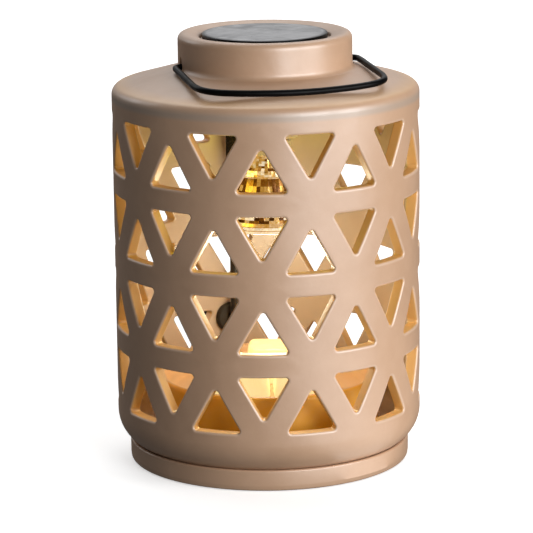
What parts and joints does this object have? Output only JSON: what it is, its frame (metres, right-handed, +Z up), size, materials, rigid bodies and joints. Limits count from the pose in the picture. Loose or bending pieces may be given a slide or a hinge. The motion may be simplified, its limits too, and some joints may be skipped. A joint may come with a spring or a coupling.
{
  "type": "lantern fragrance warmer",
  "caption": "Pierced ceramic lantern warmer with a folding wire handle, a steel cap that carries a twist-lock bulb, a lift-out wax dish on a saucer base, and a switched lead.",
  "frame": {"origin": "on the table surface, under the centre of the lantern", "axes": "+Z up; front is -Y, where the handle is folded; the handle swings about the X axis; the lead leaves at the back, +Y"},
  "size_m": [0.216, 0.2681, 0.2333],
  "materials": {
    "glaze": "satin",
    "black_steel": "gloss",
    "black_wire": "satin",
    "zinc_steel": "satin",
    "porcelain": "satin",
    "brass": "satin",
    "reflector": "gloss",
    "clear_glass": "gloss",
    "lead_insulation": "matte",
    "cord_jacket": "satin",
    "heat_sleeve": "matte",
    "black_plastic": "satin",
    "rubber": "matte",
    "wax": "satin"
  },
  "bodies": {
    "base": {"base_plate": "glaze", "foot_pad_1": "rubber", "foot_pad_2": "rubber", "foot_pad_3": "rubber", "foot_pad_4": "rubber", "cord_run": "cord_jacket", "cord_lead": "cord_jacket", "cord_coil": "cord_jacket", "cord_tail": "cord_jacket", "plug_body": "black_plastic", "plug_blade_left": "brass", "plug_blade_right": "brass", "switch_base": "black_plastic", "switch_cover": "black_plastic", "switch_screw_left": "zinc_steel", "switch_screw_right": "zinc_steel"},
    "lantern": {"lantern_body": "glaze", "cap_plate": "black_steel", "cap_stud": "zinc_steel", "clamp_bar": "zinc_steel", "clamp_nut": "zinc_steel", "holder_bracket": "zinc_steel", "bracket_nut": "zinc_steel", "lampholder": "porcelain", "contact_left": "brass", "contact_right": "brass", "holder_screw_left": "zinc_steel", "holder_screw_right": "zinc_steel", "lead_left": "lead_insulation", "lead_right": "lead_insulation", "terminal_block": "porcelain", "terminal_screw_left": "brass", "terminal_screw_right": "brass", "inner_cord": "cord_jacket", "heat_sleeve": "heat_sleeve", "cord_bushing": "rubber", "bushing_nut": "black_plastic"},
    "handle": {"bail_handle": "black_wire"},
    "bulb": {"bulb_reflector": "reflector", "bulb_front_glass": "clear_glass", "bulb_capsule": "clear_glass", "bulb_base": "porcelain", "bulb_pin_left": "zinc_steel", "bulb_pin_right": "zinc_steel"},
    "dish": {"melting_dish": "glaze", "wax_melt_1": "wax", "wax_melt_2": "wax", "wax_melt_3": "wax"},
    "rocker": {"switch_rocker": "black_plastic"}
  },
  "joints": [
    {"name": "lantern_lift", "type": "slide", "parent": "base", "child": "lantern", "axis": [0, 0, 1], "range_m": [0, 0.06]},
    {"name": "dish_lift", "type": "slide", "parent": "base", "child": "dish", "axis": [0, 0, 1], "range_m": [0, 0.04]},
    {"name": "handle_swing", "type": "hinge", "parent": "lantern", "child": "handle", "pos_m": [0, 0, 0.2165], "axis": [-1, 0, 0], "range_deg": [0, 171]},
    {"name": "bulb_turn", "type": "hinge", "parent": "lantern", "child": "bulb", "pos_m": [0, 0, 0.17], "axis": [0, 0, -1], "range_deg": [0, 35]},
    {"name": "switch_rock", "type": "hinge", "parent": "base", "child": "rocker", "pos_m": [0.0711, 0.1736, 0.0086], "axis": [0, -1, 0], "range_deg": [0, 16]}
  ]
}
